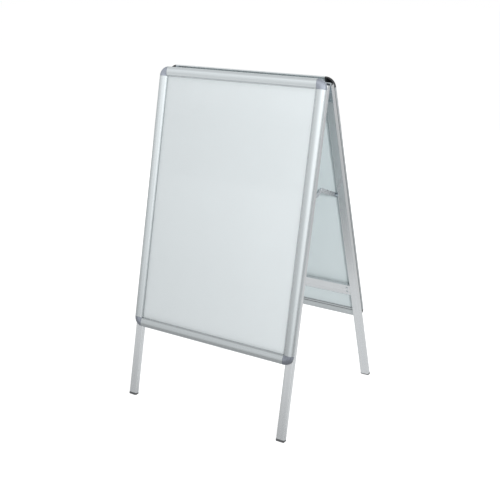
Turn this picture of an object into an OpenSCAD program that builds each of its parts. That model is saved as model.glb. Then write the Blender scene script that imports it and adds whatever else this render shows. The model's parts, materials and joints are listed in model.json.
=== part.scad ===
// Double-sided A1 sandwich board: two snap-frame poster panels on four tube legs,
// hinged at the top and held open by two folding stays.
// World frame: X across the board, Y from front to rear, Z up, origin on the floor below the hinge.

/* [Stance] */
// Height of the top hinge axis above the floor
hinge_h = 1089; // [1000:1:1200]
// Lean of each panel from vertical when the board stands open
tilt = 14; // [11:0.5:15]

/* [Panels] */
// Outside width of a panel frame
panel_w = 644; // [560:1:700]
// Outside height of a panel frame, along its slope
panel_h = 891; // [840:1:910]
// How far the frame's top edge stands above the hinge axis, along the slope
panel_rise = 12; // [11:0.5:16]
// Thickness of the back sheet
back_t = 0.8; // [0.6:0.1:0.8]
// Thickness of the clear cover sheet
cover_t = 0.4; // [0.3:0.1:0.5]

/* [Legs] */
// Width of the leg tube, across the board
leg_w = 30; // [28:1:31]
// Depth of the leg tube, from the inside of the board to its outside
leg_d = 16; // [16:1:20]
// Wall of the leg tube
leg_wall = 1.5; // [1.2:0.1:2]
// Radius of the tube's long edges
leg_edge_r = 3; // [2:0.5:4]
// How far the leg's outer side is set in from the frame's side
leg_inset = 0.3; // [0.1:0.1:1]
// Height of the foot cap on the inner side of the leg
foot_h = 3; // [2:0.5:5]

/* [Crossbars] */
// Height of the crossbar, along the slope
bar_h = 37; // [30:1:44]
// Depth of the crossbar channel
bar_d = 12; // [11:0.5:12]
// Distance from the hinge axis down to the crossbar's lower edge
bar_low = 782; // [760:1:800]

/* [Stays] */
// Distance from the hinge axis down the leg to the stay pivots
stay_down = 394; // [375:1:405]
// Length of one stay link, between pivot centres
link_len = 114; // [113:0.5:118]
// Width of a stay link
link_w = 14; // [12:1:16]
// Thickness of a stay link
link_t = 2; // [1.5:0.5:2]

/* [Hidden] */
$fn = 48;
long_arc_fn = 96;

// Sides of the board and edges of a panel
FRONT = -1;
REAR = 1;
LEFT = 0;
TOP = 1;
RIGHT = 2;
BOTTOM = 3;

// Clearances: slip between fixed pieces, play in a turning joint
slip = 0.1;
play = 0.05;
// Overlap that fuses two shapes of one solid, and a drill long enough for any wall here
fuse = 0.5;
drill = 12;

// Leg: its inner face stands this far from the hinge plane, room for the hinge leaf
leg_in = 2.6;
leg_out = leg_in + leg_d;
leg_mid = leg_in + leg_d / 2;
leg_x = panel_w / 2 - leg_inset - leg_w / 2;
leg_side_x = leg_x - leg_w / 2;
leg_top = 6.5;
leg_end = (hinge_h + leg_in * sin(tilt)) / cos(tilt) - foot_h;
leg_len = leg_end - leg_top;
plug_flange = 1.5;
plug_depth = 12;
foot_grip = 24;
foot_proud = 0.5;

// Snap profile section: u runs in from the outer edge, d out from the face that sits on the leg
profile_w = 32;
profile_t = 16.5;
wall = 1.4;
side_u = 0.1;
side_t = 1.3;
web_u = 22;
flange_end = 31.6;
flange_top = 3;
sheet_u = 24.4;
fence_t = 1.1;
fence_h = 0.9;
stiff_u = 29;
stiff_h = 1;

// Round hinge of the flap: a bead on the flap turns in a socket of the rail
bead_u = 2.2;
bead_d = 7.6;
bead_r = 1.2;
socket_r = 1.25;
socket_out = 2.1;
socket_arc = [200, 400];
neck_t = 1.2;
neck_len = 4.6;
neck_angle = 72;

// Flap shell: a shoulder, a crown, a nearly flat slope, a nose and a lip that ends over the sheet
shell_t = 1.4;
shoulder_start = 157;
shoulder_r = 8.5;
shoulder_end = 118;
crown_u = 14.45;
crown_r = 20;
crown_end = 79;
slope_r = 120;
slope_end = 74.8;
nose_r = 8;
edge_u = 31.9;
lip_d = flange_top + 1.6;
lip_t = 1.4;
rib_u = 17;
rib_t = 1.2;
rib_top = 15.2;
rib_h = 3;
flap_gap = 0.3;

// The arcs of the shell run smoothly into each other, with the top of the crown at profile_t
function toward(angle) = [cos(angle), sin(angle)];
crown_c = [crown_u, profile_t - crown_r];
shoulder_c = crown_c + (crown_r - shoulder_r) * toward(shoulder_end);
slope_c = crown_c - (slope_r - crown_r) * toward(crown_end);
nose_c = slope_c + (slope_r - nose_r) * toward(slope_end);
edge_d = nose_c[1] + sqrt(nose_r * nose_r - pow(edge_u - nose_c[0], 2));

// Corner moulding: hollow behind, with a tenon into each rail
corner_gap = 0.2;
hollow_u = [2.4, 19.4];
hollow_top = 10.2;
corner_rib_t = 1.6;
tenon_u = [4.5, 19.3];
tenon_low = wall + slip;
tenon_t = 3.4;
tenon_reach = 20;
root_u = [2, 20.5];
root_len = 6;

// Snap springs: arched strips under the flaps
spring_t = 0.5;
spring_arch_r = 9.9;
spring_half = 58.5;
spring_u = 11.4;
spring_w = 16;
springs_on = [3, 2, 3, 2];

// Rivets
rivet_r = 2.35;
rivet_bore = 2.4;
rivet_head_r = 4.2;
rivet_rim = 0.5;
rivet_dome = 0.8;
rivet_crown_r = 2.2;
rivet_tail_r = 3.2;
rivet_tail = 2.4;
panel_rivet_end = 72;
panel_rivet_step = (panel_h - 2 * panel_rivet_end) / 3;
panel_rivets_at = [for (i = [0 : 3]) panel_rivet_end - panel_rise + i * panel_rivet_step];
leaf_rivets_at = [22, 50];
cleat_rivets_at = [-8, 8];

// Crossbar channel and the angle cleats that hold it between the legs
bar_in = leg_mid - 5.2;
bar_mid = bar_low - bar_h / 2;
bar_gap = 0.2;
cleat_t = 1.5;
cleat_len = 22;
cleat_clear = 1;
cleat_set = 0.5;
cleat_bar_rivet = 13;
cleat_leg_rivet = bar_in + wall + cleat_t + rivet_head_r + 0.2;

// Hinge: three knuckles on a pin over each leg
barrel_r = 3.6;
pin_r = 2;
pin_over = 0.5;
pin_head_r = 3.2;
pin_head = 1.2;
leaf_t = 1.5;
leaf_in = leg_in - leaf_t;
leaf_len = 62;
leaf_w = 27;
knuckle_len = leaf_w / 3;
knuckle_gap = 0.15;
knuckle_clear = 0.4;

// Stays: two links on each side, in planes side by side, that meet at a knuckle over the middle
link_gap = 0.2;
link_off = 4.2;
front_link_x = leg_side_x - link_off;
rear_link_x = front_link_x - link_t - link_gap;
stay_y = stay_down * sin(tilt) + leg_mid * cos(tilt);
stay_z = hinge_h - stay_down * cos(tilt) + leg_mid * sin(tilt);
stay_angle = acos(stay_y / link_len);
knuckle_z = stay_z + link_len * sin(stay_angle);
link_rib_w = 4;
link_rib_h = 0.6;
link_rib_end = 12;
link_fuse = 0.2;
boss_r = 4.4;
boss_tip_r = 3;
boss_h = 0.9;
tab_gap = 0.15;
tab_t = 1.8;
tab_end = 17;
tab_len = 6;
ear_dip = 4;
ear_round = 1;
pivot_r = 3;
pivot_collar_r = 5;
pivot_head = 1.4;
pivot_tail_r = 4;
pivot_tail = 1.2;
pivot_past = 1;
knuckle_head = 1.3;
knuckle_head_r = 4.6;
knuckle_rim_r = 3.2;

alu = [0.78, 0.79, 0.80];
steel = [0.66, 0.67, 0.69];
corner_grey = [0.60, 0.62, 0.65];
corner_black = [0.05, 0.05, 0.055];
foot_grey = [0.33, 0.34, 0.35];
sheet_grey = [0.82, 0.85, 0.86];
clear_grey = [0.90, 0.94, 0.95];

// ---------- placing ----------

// Panel frame: x across, y outward from the hinge plane, z up the slope from the hinge axis
module on_panel(side) {
    translate([0, 0, hinge_h])
        rotate([side * tilt, 0, 0])
            if (side < 0) mirror([0, 1, 0]) children();
            else children();
}

// Half the panel size across an edge, and the length of the profiles along it
function half(edge) = edge % 2 == 0 ? panel_w / 2 : panel_h / 2;
function run(edge) = 2 * (edge % 2 == 0 ? panel_h / 2 : panel_w / 2) - 2 * profile_w;

// Edge frame: x is u, y is d, z runs along the edge from its middle
module on_edge(edge) {
    translate([0, leg_out, panel_rise - panel_h / 2])
        rotate([0, 90 * edge, 0])
            translate([-half(edge), 0, 0]) children();
}

module both_sides() {
    children();
    mirror([1, 0, 0]) children();
}

module on_hand(hand) {
    mirror([hand < 0 ? 1 : 0, 0, 0]) children();
}

// Turns a drawing of (y, z) into a plate whose thickness runs along X from x0
module in_side_plane(x0) {
    translate([x0, 0, 0]) rotate([90, 0, 90]) children();
}

// Turns local +Z into +Y
module z_to_y() {
    rotate([-90, 0, 0]) children();
}

// ---------- shared shapes ----------

// Fan from centre between two angles, in steps small enough to hold the arc inside it
module wedge(centre, reach, from, to) {
    steps = 6;
    arc = [for (i = [0 : steps]) let (a = from + (to - from) * i / steps) centre + reach * [cos(a), sin(a)]];
    polygon(concat([centre], arc));
}

module arc_band(centre, outer, thick, from, to) {
    intersection() {
        difference() {
            translate(centre) circle(r = outer, $fn = long_arc_fn);
            translate(centre) circle(r = outer - thick, $fn = long_arc_fn);
        }
        wedge(centre, outer * 1.3, from, to);
    }
}

module rounded_box_2d(w, h, r) {
    translate([-w / 2 + r, -h / 2]) square([w - 2 * r, h]);
    translate([-w / 2, -h / 2 + r]) square([w, h - 2 * r]);
    for (sx = [-1, 1], sy = [-1, 1])
        translate([sx * (w / 2 - r), sy * (h / 2 - r)]) circle(r = r);
}

module rivet_hole() {
    cylinder(r = rivet_bore, h = drill, center = true);
}

// Shank down through the grip, and the set tail below it
module rivet_shank(grip) {
    translate([0, 0, -grip - 1]) cylinder(r = rivet_r, h = grip + 1.1);
    translate([0, 0, -grip - rivet_tail]) cylinder(r = rivet_tail_r, h = rivet_tail - slip);
}

// Rivet with a domed head that stands on z = 0
module rivet(grip) {
    cylinder(r = rivet_head_r, h = rivet_rim);
    translate([0, 0, rivet_rim]) cylinder(r1 = rivet_head_r, r2 = rivet_crown_r, h = rivet_dome);
    rivet_shank(grip);
}

// Rivet with a countersunk head whose top is flush with z = 0
module flush_rivet(grip, sink) {
    translate([0, 0, -sink]) cylinder(r1 = rivet_r, r2 = rivet_r + sink, h = sink);
    rivet_shank(grip);
}

// ---------- rivet places, on the right side of a panel ----------

module panel_rivet_spots() {
    for (v = panel_rivets_at)
        translate([leg_x, leg_out + wall, -v]) z_to_y() children();
}

module leaf_rivet_spots() {
    for (v = leaf_rivets_at)
        translate([leg_x, leaf_in, -v]) rotate([90, 0, 0]) children();
}

module cleat_leg_rivet_spots() {
    for (dz = cleat_rivets_at)
        translate([leg_side_x - cleat_t, cleat_leg_rivet, -bar_mid + dz]) rotate([0, -90, 0]) children();
}

module cleat_bar_rivet_spots() {
    for (dz = cleat_rivets_at)
        translate([leg_side_x - cleat_bar_rivet, bar_in, -bar_mid + dz]) rotate([90, 0, 0]) children();
}

// ---------- legs and feet ----------

module leg(side, hand) {
    color(alu) on_panel(side) on_hand(hand) difference() {
        translate([leg_x, leg_mid, -leg_end]) linear_extrude(leg_len) difference() {
            rounded_box_2d(leg_w, leg_d, leg_edge_r);
            rounded_box_2d(leg_w - 2 * leg_wall, leg_d - 2 * leg_wall, leg_edge_r - leg_wall);
        }
        panel_rivet_spots() rivet_hole();
        leaf_rivet_spots() rivet_hole();
        cleat_leg_rivet_spots() rivet_hole();
        translate([leg_side_x, leg_mid, -stay_down]) rotate([0, 90, 0])
            cylinder(r = pivot_r + play, h = drill, center = true);
    }
}

// Hollow sleeve that fits inside the tube
module leg_sleeve(length) {
    inner_w = leg_w - 2 * leg_wall - 2 * slip;
    inner_d = leg_d - 2 * leg_wall - 2 * slip;
    linear_extrude(length) difference() {
        rounded_box_2d(inner_w, inner_d, leg_edge_r - leg_wall);
        square([inner_w - 2 * leg_wall, inner_d - 2 * leg_wall], center = true);
    }
}

// Plug with a flange that closes the top of the tube
module leg_plugs(side) {
    color(foot_grey) on_panel(side) both_sides()
        translate([leg_x, leg_mid, -leg_top]) {
            linear_extrude(plug_flange) rounded_box_2d(leg_w - 4 * slip, leg_d - 4 * slip, leg_edge_r);
            translate([0, 0, -plug_depth]) leg_sleeve(plug_depth + fuse);
        }
}

// Cap whose sole is flat on the floor when the board stands open
module foot(side, hand) {
    color(foot_grey) difference() {
        on_panel(side) translate([hand * leg_x, leg_mid, -leg_end]) {
            translate([0, 0, -leg_d]) linear_extrude(leg_d - slip)
                rounded_box_2d(leg_w + 2 * foot_proud, leg_d + 2 * foot_proud, leg_edge_r + foot_proud);
            translate([0, 0, -fuse]) leg_sleeve(foot_grip);
        }
        translate([-panel_w, -hinge_h, -leg_w]) cube([2 * panel_w, 2 * hinge_h, leg_w]);
    }
}

// ---------- snap profiles ----------

module rail_section() {
    translate([side_u, 0]) square([web_u - side_u, wall]);
    translate([side_u, 0]) square([side_t, bead_d - wall]);
    arc_band([bead_u, bead_d], socket_out, socket_out - socket_r, socket_arc[0], socket_arc[1]);
    translate([web_u - wall, 0]) square([wall, flange_top]);
    translate([web_u - wall, flange_top - wall]) square([flange_end - web_u + wall, wall]);
    translate([sheet_u - 2 * slip - fence_t, flange_top - fuse]) square([fence_t, fuse + fence_h]);
    translate([stiff_u, flange_top - wall - stiff_h]) square([stiff_h, stiff_h + fuse]);
}

// Everything under the flap's outer curve, pulled in by inset
module flap_outline(inset) {
    lap = 1;
    translate(shoulder_c) circle(r = shoulder_r - inset, $fn = long_arc_fn);
    translate(crown_c) slice(crown_r - inset, crown_end - lap, shoulder_end);
    translate(slope_c) slice(slope_r - inset, slope_end, crown_end);
    translate(nose_c) circle(r = nose_r - inset, $fn = long_arc_fn);
}

// Slice of a disc between two angles
module slice(radius, low, high) {
    intersection() {
        circle(r = radius, $fn = long_arc_fn);
        polygon([[0, 0], 2 * radius * toward(low), 2 * radius * toward(high)]);
    }
}

module flap_section() {
    start = shoulder_c + 1.5 * shoulder_r * toward(shoulder_start);
    above = profile_t + 4;
    intersection() {
        difference() {
            flap_outline(0);
            flap_outline(shell_t);
        }
        polygon([shoulder_c, start, [start[0], above], [edge_u, above], [edge_u, shoulder_c[1]]]);
    }
    translate([bead_u, bead_d]) circle(r = bead_r);
    translate([bead_u, bead_d]) rotate(neck_angle)
        translate([0, -neck_t / 2]) square([neck_len, neck_t]);
    translate([edge_u - lip_t, lip_d]) square([lip_t, edge_d - lip_d - 0.4]);
    translate([rib_u, rib_top - rib_h]) square([rib_t, rib_h]);
}

module rail(side, edge) {
    color(alu) on_panel(side) difference() {
        on_edge(edge) linear_extrude(run(edge) - 2 * slip, center = true) rail_section();
        if (edge % 2 == 0)
            both_sides() panel_rivet_spots() rivet_hole();
    }
}

module flap(side, edge) {
    color(alu) on_panel(side) on_edge(edge)
        linear_extrude(run(edge) - 2 * flap_gap, center = true) flap_section();
}

// Quarter-round moulding at the end of an edge, between it and the next one
module corner(side, edge) {
    next = (edge + 1) % 4;
    pocket_d = flange_top - slip;
    color(side == REAR ? corner_black : corner_grey) on_panel(side) {
        difference() {
            on_edge(edge) at_corner(run(edge)) {
                rotate_extrude(angle = 90, $fn = long_arc_fn) corner_section();
                rotate([0, 0, 45]) translate([profile_w - hollow_u[1] - fuse, -corner_rib_t / 2, wall])
                    cube([hollow_u[1] - hollow_u[0] + 2 * fuse, corner_rib_t, hollow_top - wall + fuse]);
            }
            on_edge(edge) translate([sheet_u - 2 * slip, pocket_d, run(edge) / 2 - 1])
                cube([profile_w, lip_d - slip - pocket_d, profile_w - sheet_u + 1 + 2 * slip]);
        }
        on_edge(edge) corner_tenon(1, run(edge));
        on_edge(next) corner_tenon(-1, run(next));
    }
}

// Puts the inner point of a corner at the origin, with its radius along +X and its height along +Z
module at_corner(length) {
    translate([profile_w, 0, length / 2]) z_to_y() rotate([0, 0, 180]) children();
}

// Drawn against the distance from the inner point, with the hollow open behind
module corner_section() {
    difference() {
        translate([profile_w, 0]) mirror([1, 0]) union() {
            translate([corner_gap, 0]) square([profile_w - corner_gap, shoulder_c[1]]);
            intersection() {
                flap_outline(corner_gap);
                square([profile_w, profile_t]);
            }
        }
        translate([profile_w - hollow_u[1], -1]) square([hollow_u[1] - hollow_u[0], hollow_top + 1]);
    }
}

// Tongue inside the end of a rail, on a root that ties both walls of the corner together
module corner_tenon(end, length) {
    mirror([0, 0, end < 0 ? 1 : 0]) translate([0, tenon_low, length / 2]) {
        translate([tenon_u[0], 0, -tenon_reach])
            cube([tenon_u[1] - tenon_u[0], tenon_t, tenon_reach + fuse]);
        translate([root_u[0], 0, 0]) cube([root_u[1] - root_u[0], tenon_t, root_len]);
    }
}

// Arched leaf springs that hold the flaps shut
module snap_springs(side) {
    foot_d = wall + slip + spring_t;
    color(steel) on_panel(side) for (edge = [LEFT : BOTTOM], i = [0 : springs_on[edge] - 1])
        on_edge(edge)
            translate([0, 0, run(edge) * ((i + 0.5) / springs_on[edge] - 0.5)])
                linear_extrude(spring_w, center = true)
                    arc_band([spring_u, foot_d - spring_arch_r * cos(spring_half)], spring_arch_r,
                             spring_t, 90 - spring_half, 90 + spring_half);
}

// ---------- sheets ----------

module sheet(side, low, thick) {
    on_panel(side)
        translate([0, leg_out + low + thick / 2, panel_rise - panel_h / 2])
            cube([panel_w - 2 * sheet_u, thick, panel_h - 2 * sheet_u], center = true);
}

module back_sheet(side) {
    color(sheet_grey) sheet(side, flange_top, back_t);
}

module cover_sheet(side) {
    color(clear_grey, 0.5) sheet(side, flange_top + back_t, cover_t);
}

// ---------- crossbars ----------

module crossbar(side) {
    length = 2 * (leg_side_x - bar_gap);
    color(alu) on_panel(side) difference() {
        translate([0, bar_in, -bar_mid]) rotate([0, 90, 0]) linear_extrude(length, center = true) {
            translate([-bar_h / 2, 0]) square([bar_h, wall]);
            for (s = [-1, 1])
                translate([s * (bar_h - wall) / 2 - wall / 2, 0]) square([wall, bar_d]);
        }
        both_sides() cleat_bar_rivet_spots() rivet_hole();
    }
}

module crossbar_cleats(side) {
    height = bar_h - 2 * wall - 2 * cleat_clear;
    color(steel) on_panel(side) both_sides() difference() {
        translate([leg_side_x - cleat_len, bar_in + wall, -bar_mid - height / 2]) {
            cube([cleat_len, cleat_t, height]);
            translate([cleat_len - cleat_t, 0, 0]) cube([cleat_t, bar_d - wall - cleat_set, height]);
        }
        cleat_leg_rivet_spots() rivet_hole();
        cleat_bar_rivet_spots() rivet_hole();
    }
}

module panel_rivets(side) {
    color(steel) on_panel(side) both_sides() {
        panel_rivet_spots() rivet(wall + leg_wall + slip);
        leaf_rivet_spots() flush_rivet(leaf_t + leg_wall + slip, leaf_t);
        cleat_leg_rivet_spots() rivet(cleat_t + leg_wall + slip);
        cleat_bar_rivet_spots() rivet(wall + cleat_t + slip);
    }
}

// ---------- top hinge ----------

// The front leaf has the two outer knuckles of each hinge, the rear leaf the middle one
function knuckles(side) = side < 0 ? [-1, 1] : [0];
function others(side) = side < 0 ? [0] : [-1, 1];

module hinge_leaves(side) {
    notch = 2 * (barrel_r + knuckle_clear);
    color(steel) on_panel(side) both_sides() translate([leg_x, 0, 0]) difference() {
        union() {
            translate([-leaf_w / 2, leaf_in, -leaf_len]) cube([leaf_w, leaf_t, leaf_len]);
            for (k = knuckles(side))
                translate([k * knuckle_len, 0, 0]) rotate([0, 90, 0])
                    cylinder(r = barrel_r, h = knuckle_len - knuckle_gap, center = true);
        }
        rotate([0, 90, 0]) cylinder(r = pin_r + play, h = 2 * leaf_w, center = true);
        for (k = others(side))
            translate([k * knuckle_len, 0, 0])
                cube([knuckle_len + knuckle_gap, notch, notch], center = true);
        translate([-leg_x, 0, 0]) leaf_rivet_spots() {
            rivet_hole();
            translate([0, 0, -leaf_t]) cylinder(r1 = rivet_bore, r2 = rivet_bore + leaf_t, h = leaf_t);
        }
    }
}

module hinge_pins() {
    color(steel) translate([0, 0, hinge_h]) both_sides() translate([leg_x, 0, 0]) rotate([0, 90, 0]) {
        cylinder(r = pin_r, h = leaf_w + 2 * pin_over, center = true);
        for (s = [-1, 1])
            translate([0, 0, s * (leaf_w / 2 + slip + pin_head / 2)])
                cylinder(r = pin_head_r, h = pin_head, center = true);
    }
}

// ---------- folding stays ----------

// Shouldered rivet: its collar stands the link off the leg, its head holds the link on
module stay_pivots(side, link_x) {
    link_side = link_x + link_t + play;
    color(steel) on_panel(side) both_sides() translate([0, leg_mid, -stay_down]) rotate([0, 90, 0]) {
        translate([0, 0, link_side]) cylinder(r = pivot_collar_r, h = leg_side_x - play - link_side);
        translate([0, 0, link_x - play - pivot_head]) cylinder(r = pivot_collar_r, h = pivot_head);
        translate([0, 0, link_x - pivot_head])
            cylinder(r = pivot_r, h = leg_side_x + leg_wall + pivot_past - link_x + pivot_head);
        translate([0, 0, leg_side_x + leg_wall + slip]) cylinder(r = pivot_tail_r, h = pivot_tail);
    }
}

// Flat strip with round ends, from its pivot at the origin along +X, with a pressed rib on one face
module link_strip(rib_z) {
    difference() {
        union() {
            linear_extrude(link_t) {
                for (x = [0, link_len]) translate([x, 0]) circle(r = link_w / 2);
                translate([0, -link_w / 2]) square([link_len, link_w]);
            }
            translate([link_rib_end, -link_rib_w / 2, rib_z])
                cube([link_len - 2 * link_rib_end, link_rib_w, link_rib_h + link_fuse]);
        }
        cylinder(r = pivot_r + play, h = drill, center = true);
    }
}

// A round boss stands on its far end, over the knuckle
module stay_front_link(hand) {
    color(steel) on_hand(hand) in_side_plane(front_link_x)
        translate([-stay_y, stay_z, 0]) rotate(stay_angle) {
            link_strip(link_t - link_fuse);
            translate([link_len, 0, link_t - slip]) cylinder(r1 = boss_r, r2 = boss_tip_r, h = boss_h + slip);
        }
}

// Its far end carries the knuckle rivet and a bent tab that stops the stay from opening further
module stay_rear_link(hand) {
    tab_low = link_w / 2 + tab_gap;
    tab_high = tab_low + tab_t;
    ear = [
        [0, -ear_dip], [-tab_end, ear_dip], [-tab_end, tab_high],
        [-tab_end + tab_len + ear_round, tab_high], [2 * ear_round, link_w / 2 - ear_round]
    ];
    color(steel) on_hand(hand) in_side_plane(rear_link_x) difference() {
        union() {
            translate([stay_y, stay_z, 0]) mirror([1, 0, 0]) rotate(stay_angle) link_strip(-link_rib_h);
            translate([0, knuckle_z, 0]) rotate(stay_angle) {
                linear_extrude(link_t) polygon(ear);
                translate([-tab_end, tab_low, 0]) cube([tab_len, tab_t, 2 * link_t + link_gap]);
            }
        }
        translate([0, knuckle_z, 0]) rivet_hole();
    }
}

module stay_knuckle_rivet(hand) {
    color(steel) on_hand(hand) in_side_plane(rear_link_x) translate([0, knuckle_z, 0]) {
        translate([0, 0, -knuckle_head - play])
            cylinder(r1 = knuckle_rim_r, r2 = knuckle_head_r, h = knuckle_head);
        translate([0, 0, -fuse]) cylinder(r = rivet_r, h = link_t + fuse + link_gap / 2);
    }
}

// ---------- nodes ----------

leg(FRONT, -1);  // front_leg_left
leg(FRONT, 1);  // front_leg_right
leg_plugs(FRONT);  // front_leg_plugs
foot(FRONT, -1);  // front_foot_left
foot(FRONT, 1);  // front_foot_right
rail(FRONT, LEFT);  // front_rail_left
rail(FRONT, TOP);  // front_rail_top
rail(FRONT, RIGHT);  // front_rail_right
rail(FRONT, BOTTOM);  // front_rail_bottom
corner(FRONT, LEFT);  // front_corner_top_left
corner(FRONT, TOP);  // front_corner_top_right
corner(FRONT, RIGHT);  // front_corner_bottom_right
corner(FRONT, BOTTOM);  // front_corner_bottom_left
flap(FRONT, LEFT);  // front_flap_left
flap(FRONT, TOP);  // front_flap_top
flap(FRONT, RIGHT);  // front_flap_right
flap(FRONT, BOTTOM);  // front_flap_bottom
snap_springs(FRONT);  // front_snap_springs
back_sheet(FRONT);  // front_back_sheet
cover_sheet(FRONT);  // front_cover_sheet
crossbar(FRONT);  // front_crossbar
crossbar_cleats(FRONT);  // front_crossbar_cleats
panel_rivets(FRONT);  // front_rivets
hinge_leaves(FRONT);  // front_hinge_leaves
stay_pivots(FRONT, front_link_x);  // front_stay_pivots

leg(REAR, -1);  // rear_leg_left
leg(REAR, 1);  // rear_leg_right
leg_plugs(REAR);  // rear_leg_plugs
foot(REAR, -1);  // rear_foot_left
foot(REAR, 1);  // rear_foot_right
rail(REAR, LEFT);  // rear_rail_left
rail(REAR, TOP);  // rear_rail_top
rail(REAR, RIGHT);  // rear_rail_right
rail(REAR, BOTTOM);  // rear_rail_bottom
corner(REAR, LEFT);  // rear_corner_top_left
corner(REAR, TOP);  // rear_corner_top_right
corner(REAR, RIGHT);  // rear_corner_bottom_right
corner(REAR, BOTTOM);  // rear_corner_bottom_left
flap(REAR, LEFT);  // rear_flap_left
flap(REAR, TOP);  // rear_flap_top
flap(REAR, RIGHT);  // rear_flap_right
flap(REAR, BOTTOM);  // rear_flap_bottom
snap_springs(REAR);  // rear_snap_springs
back_sheet(REAR);  // rear_back_sheet
cover_sheet(REAR);  // rear_cover_sheet
crossbar(REAR);  // rear_crossbar
crossbar_cleats(REAR);  // rear_crossbar_cleats
panel_rivets(REAR);  // rear_rivets
hinge_leaves(REAR);  // rear_hinge_leaves
stay_pivots(REAR, rear_link_x);  // rear_stay_pivots

hinge_pins();
stay_front_link(-1);  // stay_front_link_left
stay_front_link(1);  // stay_front_link_right
stay_rear_link(-1);  // stay_rear_link_left
stay_rear_link(1);  // stay_rear_link_right
stay_knuckle_rivet(-1);  // stay_knuckle_rivet_left
stay_knuckle_rivet(1);  // stay_knuckle_rivet_right
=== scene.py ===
"""Looks, light and camera for the double-sided sandwich board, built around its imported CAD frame."""

import json
import math

import bpy
from mathutils import Matrix, Vector


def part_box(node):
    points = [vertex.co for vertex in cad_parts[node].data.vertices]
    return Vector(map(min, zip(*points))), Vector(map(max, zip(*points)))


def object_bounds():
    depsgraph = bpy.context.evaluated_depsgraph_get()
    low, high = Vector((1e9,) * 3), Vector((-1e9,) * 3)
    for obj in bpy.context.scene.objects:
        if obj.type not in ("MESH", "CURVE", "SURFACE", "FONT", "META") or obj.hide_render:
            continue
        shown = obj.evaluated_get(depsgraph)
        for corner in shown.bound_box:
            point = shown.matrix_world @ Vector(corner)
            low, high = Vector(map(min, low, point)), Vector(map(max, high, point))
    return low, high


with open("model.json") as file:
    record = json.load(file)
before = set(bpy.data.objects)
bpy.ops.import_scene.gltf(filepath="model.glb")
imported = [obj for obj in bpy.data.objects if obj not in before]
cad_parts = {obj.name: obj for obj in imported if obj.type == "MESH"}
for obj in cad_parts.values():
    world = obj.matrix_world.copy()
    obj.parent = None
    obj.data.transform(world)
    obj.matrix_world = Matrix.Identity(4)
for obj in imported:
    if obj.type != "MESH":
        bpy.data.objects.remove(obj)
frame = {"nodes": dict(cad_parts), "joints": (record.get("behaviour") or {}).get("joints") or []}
cad_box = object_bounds()
low, high = Vector(cad_box[0]), Vector(cad_box[1])
middle = (low + high) / 2

# Each panel's lean from vertical when the board stands open is half the fold joint's range
fold = next(joint for joint in frame["joints"] if joint["name"] == "fold")
LEAN = math.radians(fold["range_deg"][1] / 2)


# ---------- shader helpers ----------


def new_material(name):
    material = bpy.data.materials.new(name)
    material.use_nodes = True
    material.node_tree.nodes.clear()
    return material, Graph(material.node_tree)


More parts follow.
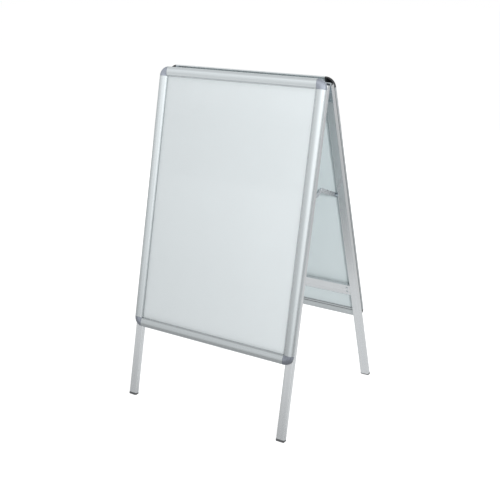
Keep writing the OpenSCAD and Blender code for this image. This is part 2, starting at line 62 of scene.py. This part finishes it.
class Graph:
    """Short calls for adding and linking the nodes of one tree."""

    def __init__(self, tree):
        self.tree = tree

    def add(self, kind, **settings):
        node = self.tree.nodes.new(kind)
        for key, value in settings.items():
            setattr(node, key, value)
        return node

    def link(self, source, target):
        self.tree.links.new(source, target)

    def put(self, socket, value):
        """Sets a socket to a number or colour, or links another socket to it."""
        if isinstance(value, bpy.types.NodeSocket):
            self.link(value, socket)
        elif socket.type == "RGBA" and not isinstance(value, (int, float)):
            socket.default_value = (*value[:3], 1.0)
        else:
            socket.default_value = value

    def math(self, operation, a, b=0.0):
        """One arithmetic step on two numbers or sockets."""
        node = self.add("ShaderNodeMath", operation=operation)
        self.put(node.inputs[0], a)
        self.put(node.inputs[1], b)
        return node.outputs[0]

    def mix(self, factor, a, b):
        """Colour a where the factor is 0, colour b where it is 1."""
        node = self.add("ShaderNodeMix", data_type="RGBA")
        self.put(node.inputs["Factor"], factor)
        self.put(node.inputs[6], a)
        self.put(node.inputs[7], b)
        return node.outputs[2]

    def tinted(self, colour, grey):
        """The colour multiplied by a grey level."""
        node = self.add("ShaderNodeVectorMath", operation="SCALE")
        self.put(node.inputs[0], colour)
        self.put(node.inputs["Scale"], grey)
        return node.outputs[0]

    def occlusion_shade(self, reach):
        """Painted shade from ambient occlusion: 1 on open faces, less in gaps and corners narrower than the
        reach, in metres.
        """
        node = self.add("ShaderNodeAmbientOcclusion", samples=8)
        node.inputs["Distance"].default_value = reach
        return node.outputs["AO"]

    def along(self, direction):
        """Distance of a point along a direction, in metres."""
        dot = self.add("ShaderNodeVectorMath", operation="DOT_PRODUCT")
        self.link(self.object_space(), dot.inputs[0])
        dot.inputs[1].default_value = direction
        return dot.outputs["Value"]

    def facing(self, direction):
        """1 on faces that look along a direction, 0 on faces that look the other way."""
        normal = self.add("ShaderNodeTexCoord").outputs["Normal"]
        dot = self.add("ShaderNodeVectorMath", operation="DOT_PRODUCT")
        self.link(normal, dot.inputs[0])
        dot.inputs[1].default_value = direction
        return self.math("GREATER_THAN", dot.outputs["Value"], 0.0)

    def remap(self, value, low, high, to_low, to_high, smooth=False):
        """The value moved from the range low to high into the range to_low to to_high, held at both ends."""
        node = self.add("ShaderNodeMapRange", interpolation_type="SMOOTHSTEP" if smooth else "LINEAR")
        for socket, number in zip(node.inputs, (value, low, high, to_low, to_high)):
            self.put(socket, number)
        return node.outputs["Result"]

    def ramp(self, value, stops):
        """Grey ramp through (position, grey) stops."""
        node = self.add("ShaderNodeValToRGB")
        elements = node.color_ramp.elements
        while len(elements) < len(stops):
            elements.new(0.5)
        for element, (place, grey) in zip(elements, stops):
            element.position = place
            element.color = (grey, grey, grey, 1)
        self.put(node.inputs[0], value)
        return node.outputs[0]

    def noise(self, vector, scale, detail, roughness):
        """Noise that lies mostly between 0.3 and 0.7, with its scale in lumps per metre of the vector."""
        node = self.add("ShaderNodeTexNoise")
        self.put(node.inputs["Vector"], vector)
        self.put(node.inputs["Scale"], scale)
        self.put(node.inputs["Detail"], detail)
        self.put(node.inputs["Roughness"], roughness)
        return node.outputs["Fac"]

    def object_space(self, turn_x=0.0, scale=(1, 1, 1)):
        """Object coordinates in metres, turned about X and then scaled along each axis."""
        where = self.add("ShaderNodeTexCoord").outputs["Object"]
        turn = self.add("ShaderNodeMapping", vector_type="POINT")
        self.put(turn.inputs["Vector"], where)
        turn.inputs["Rotation"].default_value = (turn_x, 0, 0)
        stretch = self.add("ShaderNodeMapping", vector_type="POINT")
        self.put(stretch.inputs["Vector"], turn.outputs[0])
        stretch.inputs["Scale"].default_value = scale
        return stretch.outputs[0]

    def bump(self, height, depth, strength, normal=None):
        """Normal for a relief of the given depth in metres, on top of another normal if there is one."""
        node = self.add("ShaderNodeBump")
        self.put(node.inputs["Height"], height)
        self.put(node.inputs["Distance"], depth)
        self.put(node.inputs["Strength"], strength)
        if normal is not None:
            self.put(node.inputs["Normal"], normal)
        return node.outputs[0]

    def background(self, colour, strength):
        node = self.add("ShaderNodeBackground")
        self.put(node.inputs["Color"], colour)
        self.put(node.inputs["Strength"], strength)
        return node.outputs[0]

    def principled(self, **inputs):
        node = self.add("ShaderNodeBsdfPrincipled")
        for key, value in inputs.items():
            self.put(node.inputs[key.replace("_", " ")], value)
        return node.outputs[0]

    def output(self, shader):
        self.link(shader, self.add("ShaderNodeOutputMaterial").inputs["Surface"])


# ---------- materials ----------

# Which way each panel is turned to stand it upright
SIDES = {"front": 1, "rear": -1}

# Colours are linear red, green and blue. A height-shade pair is the grey level of painted shade at the floor
# and at the top, darker low down where the light falls off.
LEG_TONE = (0.755, 0.772, 0.785)
LEG_HEIGHT_SHADE = (0.9, 0.98)
PROFILE_TONE = (0.675, 0.712, 0.725)
PROFILE_HEIGHT_SHADE = (0.66, 1.09)
CORNER_DARK = (0.36, 0.385, 0.44)
CORNER_LIGHT = (0.43, 0.455, 0.51)
CORNER_HEIGHT_SHADE = (0.66, 1.1)
BLACK_DARK = (0.012, 0.013, 0.015)
BLACK_LIGHT = (0.022, 0.023, 0.026)
FOOT_DARK = (0.085, 0.088, 0.092)
FOOT_LIGHT = (0.15, 0.152, 0.155)
PLUG_DARK = (0.10, 0.103, 0.108)
PLUG_LIGHT = (0.16, 0.162, 0.165)
SHEET_TONE = (0.797, 0.84, 0.858)
# Painted light: the sheet's inner faces take this darker, greener tone in place of light that comes through
# the board
SHEET_INNER_PAINTED_LIGHT = (0.705, 0.775, 0.79)
SHEET_HEIGHT_SHADE = (0.90, 1.035)
FILM_TINT = (0.985, 0.99, 0.99)
ZINC_TONE = (0.70, 0.735, 0.755)
SPRING_TONE = (0.40, 0.41, 0.44)

# Lumps of noise per metre across and along the die lines of an extrusion
GRAIN_ACROSS = 900
GRAIN_ALONG = 3
# Width of the gaps that take painted shade, in metres
PROFILE_SHADE_REACH = 0.003
CORNER_SHADE_REACH = 0.005

# How far the sheet reaches in under the flaps, in metres
SHEET_UNDER_FLAP = 0.0075
# Painted shade on the sheet along the flaps, a contact shadow, a soft shade and a band of shade: how dark,
# from 0 to 1, and how far out from the flaps, in metres
PAINTED_CONTACT_SHADOW = 0.36
PAINTED_CONTACT_SHADOW_END = 0.004
PAINTED_EDGE_SHADE = 0.12
PAINTED_EDGE_SHADE_END = 0.02
PAINTED_SHADE_BAND = 0.06
PAINTED_SHADE_BAND_FADE = 0.0125
PAINTED_SHADE_BAND_END = 0.0135
# Grey level of the sheet under painted shade of darkness 1
PAINTED_SHADE_GREY = 0.55


def painted_height_shade(g, at_floor, at_top):
    """Painted shade: a grey level that is darker at the floor and lighter at the top, where the light falls
    off.
    """
    return g.remap(g.along((0, 0, 1)), low.z, high.z, at_floor, at_top)


def anodised_aluminium(name, side, along, tone, height_shade):
    """Silver anodised extrusion: fine die lines run along the piece, with faint drawn streaks and smudges."""
    material, g = new_material(name)
    # Turning by the lean stands the panel upright, so the grain can run down the slope
    turn = side * LEAN
    across, down = (GRAIN_ACROSS, GRAIN_ALONG) if along == "slope" else (GRAIN_ALONG, GRAIN_ACROSS)
    lines = g.noise(g.object_space(turn, (across, GRAIN_ACROSS, down)), 1.0, 2.0, 0.6)
    streaks = g.noise(g.object_space(turn, (across / 9, 100, down / 9)), 1.0, 3.0, 0.55)
    smudges = g.noise(g.object_space(turn, (1, 1, 1)), 9.0, 4.0, 0.6)
    value = g.math("ADD", g.math("MULTIPLY", lines, 0.5), g.math("MULTIPLY", streaks, 0.5))
    dark = [c * 0.94 for c in tone]
    light = [min(1.0, c * 1.04) for c in tone]
    colour = g.mix(g.remap(value, 0.35, 0.65, 0.0, 1.0), dark, light)
    # Painted shade: darker towards the floor, where the light falls off
    colour = g.tinted(colour, painted_height_shade(g, *height_shade))
    # Painted shade: ambient occlusion darkens the gaps and corners
    colour = g.tinted(colour, g.remap(g.occlusion_shade(PROFILE_SHADE_REACH), 0.3, 0.9, 0.2, 1.0))
    rough = g.math("ADD", g.remap(smudges, 0.3, 0.7, 0.17, 0.23), g.remap(lines, 0.3, 0.7, -0.02, 0.02))
    normal = g.bump(lines, 0.00003, 0.35)
    tangent = g.add("ShaderNodeCombineXYZ")
    direction = (0, math.sin(-turn), math.cos(turn)) if along == "slope" else (1, 0, 0)
    for socket, number in zip(tangent.inputs, direction):
        socket.default_value = number
    g.output(g.principled(
        Base_Color=colour, Metallic=0.82, Roughness=rough, Normal=normal,
        Anisotropic=0.35, Tangent=tangent.outputs[0],
    ))
    return material


def plated_corner(name):
    """Satin metal-look moulding with a pebbled skin, darker and bluer than the extrusions."""
    material, g = new_material(name)
    where = g.object_space()
    cloud = g.noise(where, 60.0, 3.0, 0.55)
    speckle = g.noise(where, 420.0, 3.0, 0.7)
    grain = g.noise(where, 2500.0, 2.0, 0.5)
    colour = g.mix(cloud, CORNER_DARK, CORNER_LIGHT)
    colour = g.tinted(colour, g.remap(speckle, 0.35, 0.65, 0.78, 1.2))
    # Painted shade: darker towards the floor, where the light falls off
    colour = g.tinted(colour, painted_height_shade(g, *CORNER_HEIGHT_SHADE))
    # Painted shade: ambient occlusion darkens the gaps and corners of the moulding
    colour = g.tinted(colour, g.remap(g.occlusion_shade(CORNER_SHADE_REACH), 0.2, 0.8, 0.3, 1.0))
    g.output(g.principled(
        Base_Color=colour, Metallic=1.0, Roughness=g.remap(cloud, 0.3, 0.7, 0.36, 0.42),
        Normal=g.bump(grain, 0.00002, 0.3),
    ))
    return material


def moulded_plastic(name, dark, light, grain_scale, roughness):
    """Spark-textured plastic, with paler scuffs on its exposed spots."""
    material, g = new_material(name)
    where = g.object_space()
    grain = g.noise(where, grain_scale, 2.0, 0.6)
    scuffs = g.noise(where, 140.0, 5.0, 0.7)
    colour = g.mix(g.remap(scuffs, 0.52, 0.68, 0.0, 1.0), dark, light)
    g.output(g.principled(
        Base_Color=colour, Roughness=g.remap(grain, 0.3, 0.7, roughness - 0.06, roughness + 0.06),
        Normal=g.bump(grain, 0.00008, 0.5),
    ))
    return material


def panel_window(g, side):
    """Distance from the flaps' inner edges, in metres, measured on the sheet of one panel."""
    low_corner, high_corner = (Vector(c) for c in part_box(f"{side}_back_sheet"))
    parts = g.add("ShaderNodeSeparateXYZ")
    g.link(g.object_space(), parts.inputs[0])
    middle_z = (low_corner.z + high_corner.z) / 2
    half_width = high_corner.x - SHEET_UNDER_FLAP
    half_height = (high_corner.z - low_corner.z) / 2 / math.cos(LEAN) - SHEET_UNDER_FLAP
    across = g.math("SUBTRACT", half_width, g.math("ABSOLUTE", parts.outputs["X"]))
    up = g.math("ABSOLUTE", g.math("SUBTRACT", parts.outputs["Z"], middle_z))
    down = g.math("SUBTRACT", half_height, g.math("DIVIDE", up, math.cos(LEAN)))
    return g.math("MINIMUM", across, down)


def pale_sheet(name, side):
    """Pale grey board with painted light: a greener tone on its inner faces, and painted shade along the
    flaps and towards the floor.
    """
    material, g = new_material(name)
    where = g.object_space()
    mottle = g.noise(where, 5.0, 3.0, 0.5)
    fine = g.noise(where, 900.0, 2.0, 0.5)
    shadow_breakup = g.noise(where, 55.0, 4.0, 0.6)
    # Painted light: faces inside the board take their own greener tone, standing in for light through the
    # board
    outside = g.facing((0, -SIDES[side] * math.cos(LEAN), math.sin(LEAN)))
    colour = g.tinted(g.mix(outside, SHEET_INNER_PAINTED_LIGHT, SHEET_TONE), g.remap(mottle, 0.0, 1.0, 0.99, 1.01))
    # Painted shade: darker towards the floor, where the light falls off
    colour = g.tinted(colour, painted_height_shade(g, *SHEET_HEIGHT_SHADE))
    edge = panel_window(g, side)
    # Painted shade along the flaps: a dark contact shadow at their edges, a softer shade further out, and a
    # band of shade out to the band's end
    contact_shadow = g.remap(edge, 0.0, PAINTED_CONTACT_SHADOW_END, PAINTED_CONTACT_SHADOW, 0.0, smooth=True)
    contact_shadow = g.math("MULTIPLY", contact_shadow, g.remap(shadow_breakup, 0.2, 0.6, 0.75, 1.0))
    edge_shade = g.remap(edge, 0.0, PAINTED_EDGE_SHADE_END, PAINTED_EDGE_SHADE, 0.0, smooth=True)
    shade_band = g.remap(edge, PAINTED_SHADE_BAND_FADE, PAINTED_SHADE_BAND_END, PAINTED_SHADE_BAND, 0.0)
    shade = g.math("MAXIMUM", contact_shadow, g.math("MAXIMUM", edge_shade, shade_band))
    colour = g.tinted(colour, g.remap(shade, 0.0, 1.0, 1.0, PAINTED_SHADE_GREY))
    g.output(g.principled(
        Base_Color=colour, Roughness=g.remap(fine, 0.3, 0.7, 0.42, 0.5), Specular_IOR_Level=0.3,
        Normal=g.bump(mottle, 0.0004, 0.2, g.bump(fine, 0.00002, 0.2)),
    ))
    return material


def anti_glare_film(name):
    """Clear film with a fine matt face: mostly see-through, with a soft sheen."""
    material, g = new_material(name)
    where = g.object_space()
    tooth = g.noise(where, 1800.0, 2.0, 0.6)
    wave = g.noise(where, 2.2, 2.0, 0.4)
    normal = g.bump(wave, 0.003, 0.15, g.bump(tooth, 0.00003, 0.4))
    clear = g.add("ShaderNodeBsdfTransparent")
    clear.inputs["Color"].default_value = (*FILM_TINT, 1)
    sheen = g.add("ShaderNodeBsdfGlossy")
    sheen.inputs["Color"].default_value = (1, 1, 1, 1)
    sheen.inputs["Roughness"].default_value = 0.3
    g.put(sheen.inputs["Normal"], normal)
    facing = g.add("ShaderNodeFresnel")
    facing.inputs["IOR"].default_value = 1.45
    both = g.add("ShaderNodeMixShader")
    # Only the outer face gleams, because the film's far face would otherwise block slanting light
    back = g.add("ShaderNodeNewGeometry").outputs["Backfacing"]
    g.put(both.inputs[0], g.math("MULTIPLY", facing.outputs[0], g.math("SUBTRACT", 1.0, back)))
    g.link(clear.outputs[0], both.inputs[1])
    g.link(sheen.outputs[0], both.inputs[2])
    g.output(both.outputs[0])
    return material


def zinc_plate(name, tone, roughness):
    """Bright zinc: cloudy crystals, a faint warm and cool drift, fine scratches."""
    material, g = new_material(name)
    where = g.object_space()
    cloud = g.noise(where, 90.0, 4.0, 0.6)
    drift = g.noise(where, 25.0, 1.0, 0.4)
    scratch = g.noise(g.object_space(0.4, (1400, 60, 1400)), 1.0, 2.0, 0.6)
    warm = [c * k for c, k in zip(tone, (1.02, 1.0, 0.98))]
    cool = [c * k for c, k in zip(tone, (0.95, 0.99, 1.04))]
    g.output(g.principled(
        Base_Color=g.mix(drift, warm, cool), Metallic=1.0,
        Roughness=g.remap(cloud, 0.3, 0.7, roughness - 0.07, roughness + 0.07),
        Normal=g.bump(scratch, 0.00003, 0.3),
    ))
    return material


TUBES = {"leg": (LEG_TONE, LEG_HEIGHT_SHADE), "profile": (PROFILE_TONE, PROFILE_HEIGHT_SHADE)}
aluminium = {
    (side, along, kind): anodised_aluminium(f"{kind}_{side}_{along}", sign, along, *finish)
    for side, sign in SIDES.items()
    for along in ("slope", "across")
    for kind, finish in TUBES.items()
}
corner_finish = {
    "front": plated_corner("corner_plating"),
    "rear": moulded_plastic("corner_black", BLACK_DARK, BLACK_LIGHT, 1900.0, 0.42),
}
foot_plastic = moulded_plastic("foot_plastic", FOOT_DARK, FOOT_LIGHT, 1600.0, 0.55)
plug_plastic = moulded_plastic("plug_plastic", PLUG_DARK, PLUG_LIGHT, 1600.0, 0.5)
sheet_board = {side: pale_sheet(f"sheet_board_{side}", side) for side in SIDES}
cover_film = anti_glare_film("cover_film")
zinc = zinc_plate("zinc_plate", ZINC_TONE, 0.3)
spring_steel = zinc_plate("spring_steel", SPRING_TONE, 0.36)


def finish_for(node):
    """The material of a CAD node, from its name."""
    side = "rear" if node.startswith("rear") else "front"
    across = any(word in node for word in ("_top", "_bottom", "crossbar"))
    if "corner" in node:
        return corner_finish[side]
    if "foot" in node:
        return foot_plastic
    if "plugs" in node:
        return plug_plastic
    if "cover_sheet" in node:
        return cover_film
    if "back_sheet" in node:
        return sheet_board[side]
    if "springs" in node:
        return spring_steel
    if "cleats" in node or not any(word in node for word in ("leg", "rail", "flap", "crossbar")):
        return zinc
    kind = "leg" if "leg" in node or "crossbar" in node else "profile"
    return aluminium[side, "across" if across else "slope", kind]


for node_name, node_object in frame["nodes"].items():
    node_object.data.materials.clear()
    node_object.data.materials.append(finish_for(node_name))


# ---------- floor, light and camera ----------

# The floor as the camera sees it: a glow, and a matt grey that takes the shadow
FLOOR_GLOW = 0.74
FLOOR_SEEN = (0.55, 0.55, 0.55)
# The floor as it lights matt surfaces
FLOOR_MATT = (0.9, 0.9, 0.9)
# Brightness of the floor in reflections, from near the board to far off, in front of it and behind it
FLOOR_NEAR = 0.52
FLOOR_FAR = 0.77
FLOOR_BEHIND = 0.84
FLOOR_FAR_BEHIND = 0.58
# Where near ends and far begins, in metres from the origin, in front of the board and behind it
FRONT_SPAN = (1.0, 3.6)
BACK_SPAN = (0.6, 2.4)
# Where the front gives way to the back, in metres along +Y
BACK_BEGINS = (-0.35, -0.1)

ROOM_TINT = (0.985, 1.0, 1.01)
# Brightness of the surroundings for matt surfaces
MATT_GLOW = 0.48
# Brightness of the room in reflections, by height: horizon 0.5, straight up 1
ROOM_LEVELS = [
    (0.48, 0.80), (0.535, 0.83), (0.587, 0.87), (0.65, 0.94), (0.72, 0.96), (0.87, 0.72), (1.0, 0.5),
]
# Walls: azimuth from the front toward the right, elevation, full and zero half-width, gain in brightness
ROOM_WALLS = [(60, 12, 35, 100, 1.6), (-95, 0, 10, 50, 0.8)]

# The lamps' distance from the origin, and the point they shine at, in metres
LAMP_DISTANCE = 4.2
LAMP_AIM = Vector((0, 0, 0.7))

# The point that the camera looks at, from the middle of the board's box, in metres
AIM_OFFSET = Vector((0.008, 0.0, -0.050))


def camera_or_rest(g, seen, rest):
    """One shader for what the camera sees directly, another for light and reflections."""
    choose = g.add("ShaderNodeMixShader")
    g.link(g.add("ShaderNodeLightPath").outputs["Is Camera Ray"], choose.inputs[0])
    g.link(rest, choose.inputs[1])
    g.link(seen, choose.inputs[2])
    return choose.outputs[0]


def floor(reach=14.0):
    """Pale floor that shows the object's soft shadow, and is greyer in reflections, most so in front."""
    mesh = bpy.data.meshes.new("floor")
    corners = [(-reach, -reach, 0), (reach, -reach, 0), (reach, reach, 0), (-reach, reach, 0)]
    mesh.from_pydata(corners, [], [(0, 1, 2, 3)])
    plane = bpy.data.objects.new("floor", mesh)
    bpy.context.scene.collection.objects.link(plane)
    material, g = new_material("floor_white")
    glow = g.add("ShaderNodeEmission")
    glow.inputs["Strength"].default_value = FLOOR_GLOW
    seen = g.add("ShaderNodeAddShader")
    g.link(g.principled(Base_Color=FLOOR_SEEN, Roughness=0.8, Specular_IOR_Level=0.0), seen.inputs[0])
    g.link(glow.outputs[0], seen.inputs[1])
    away = g.add("ShaderNodeVectorMath", operation="LENGTH")
    g.link(g.object_space(), away.inputs[0])
    in_front = g.remap(away.outputs["Value"], *FRONT_SPAN, FLOOR_NEAR, FLOOR_FAR, smooth=True)
    behind = g.remap(g.along((0, 1, 0)), *BACK_BEGINS, 0.0, 1.0, smooth=True)
    at_back = g.remap(away.outputs["Value"], *BACK_SPAN, FLOOR_BEHIND, FLOOR_FAR_BEHIND, smooth=True)
    level = g.math("ADD", in_front, g.math("MULTIPLY", behind, g.math("SUBTRACT", at_back, in_front)))
    mirrored = g.add("ShaderNodeEmission")
    mirrored.inputs["Color"].default_value = (*ROOM_TINT, 1)
    g.link(level, mirrored.inputs["Strength"])
    rest = g.add("ShaderNodeMixShader")
    g.link(g.add("ShaderNodeLightPath").outputs["Is Glossy Ray"], rest.inputs[0])
    g.link(g.principled(Base_Color=FLOOR_MATT, Roughness=0.8, Specular_IOR_Level=0.0), rest.inputs[1])
    g.link(mirrored.outputs[0], rest.inputs[2])
    g.output(camera_or_rest(g, seen.outputs[0], rest.outputs[0]))
    mesh.materials.append(material)


def toward(azimuth, elevation):
    """Unit vector at an azimuth from -Y toward +X, and an elevation, in degrees."""
    a, e = math.radians(azimuth), math.radians(elevation)
    return Vector((math.sin(a) * math.cos(e), -math.cos(a) * math.cos(e), math.sin(e)))


def softbox(name, azimuth, elevation, size, power):
    """Square lamp of a size in metres and a power in watts. It doesn't show in reflections."""
    light = bpy.data.lights.new(name, "AREA")
    light.shape = "SQUARE"
    light.size = size
    light.energy = power
    lamp = bpy.data.objects.new(name, light)
    lamp.location = toward(azimuth, elevation) * LAMP_DISTANCE
    lamp.rotation_euler = (LAMP_AIM - lamp.location).to_track_quat("-Z", "Y").to_euler()
    lamp.visible_glossy = False
    bpy.context.scene.collection.objects.link(lamp)


def studio_world():
    """White to the camera, an even glow for matt surfaces, and a room of graded walls for reflections."""
    world = bpy.data.worlds.new("studio")
    world.use_nodes = True
    world.cycles.sampling_method = "NONE"
    world.node_tree.nodes.clear()
    bpy.context.scene.world = world
    g = Graph(world.node_tree)
    direction = g.add("ShaderNodeTexCoord").outputs["Generated"]
    parts = g.add("ShaderNodeSeparateXYZ")
    g.link(direction, parts.inputs[0])
    level = g.ramp(g.remap(parts.outputs["Z"], -1.0, 1.0, 0.0, 1.0), ROOM_LEVELS)
    for azimuth, elevation, inner, outer, gain in ROOM_WALLS:
        dot = g.add("ShaderNodeVectorMath", operation="DOT_PRODUCT")
        g.link(direction, dot.inputs[0])
        dot.inputs[1].default_value = toward(azimuth, elevation)
        edge = [math.cos(math.radians(angle)) for angle in (outer, inner)]
        level = g.math("MULTIPLY", level, g.remap(dot.outputs["Value"], *edge, 1.0, gain, smooth=True))
    room = g.background(ROOM_TINT, level)
    matt = g.background((1, 1, 1), MATT_GLOW)
    white = g.background((1, 1, 1), 1.0)
    choose = g.add("ShaderNodeMixShader")
    g.link(g.add("ShaderNodeLightPath").outputs["Is Glossy Ray"], choose.inputs[0])
    g.link(matt, choose.inputs[1])
    g.link(room, choose.inputs[2])
    g.link(camera_or_rest(g, white, choose.outputs[0]), g.add("ShaderNodeOutputWorld").inputs["Surface"])


def photo_camera():
    """Seen from the front right and a little above, from the photographer's distance."""
    azimuth = math.radians(34.947)
    pitch = math.radians(-18.880)
    roll = math.radians(-1.393)
    distance = 3.29
    aim = middle + AIM_OFFSET
    camera = bpy.data.cameras.new("camera")
    camera.sensor_width = 36.0
    camera.lens = 69.77
    camera.clip_end = 60.0
    view = bpy.data.objects.new("camera", camera)
    forward = Vector((
        -math.sin(azimuth) * math.cos(pitch), math.cos(azimuth) * math.cos(pitch), math.sin(pitch),
    ))
    right = Vector((math.cos(azimuth), math.sin(azimuth), 0))
    up = right.cross(forward)
    rolled_right = right * math.cos(roll) + up * math.sin(roll)
    rolled_up = up * math.cos(roll) - right * math.sin(roll)
    turn = Matrix((rolled_right, rolled_up, -forward)).transposed()
    view.matrix_world = Matrix.Translation(aim - forward * distance) @ turn.to_4x4()
    bpy.context.scene.collection.objects.link(view)
    bpy.context.scene.camera = view


floor()
studio_world()
softbox("key", azimuth=47, elevation=25, size=0.5, power=84)
softbox("back fill", azimuth=208, elevation=28, size=1.2, power=66)
photo_camera()

view_settings = bpy.context.scene.view_settings
view_settings.view_transform = "Standard"
view_settings.look = "None"
view_settings.exposure = 0.0
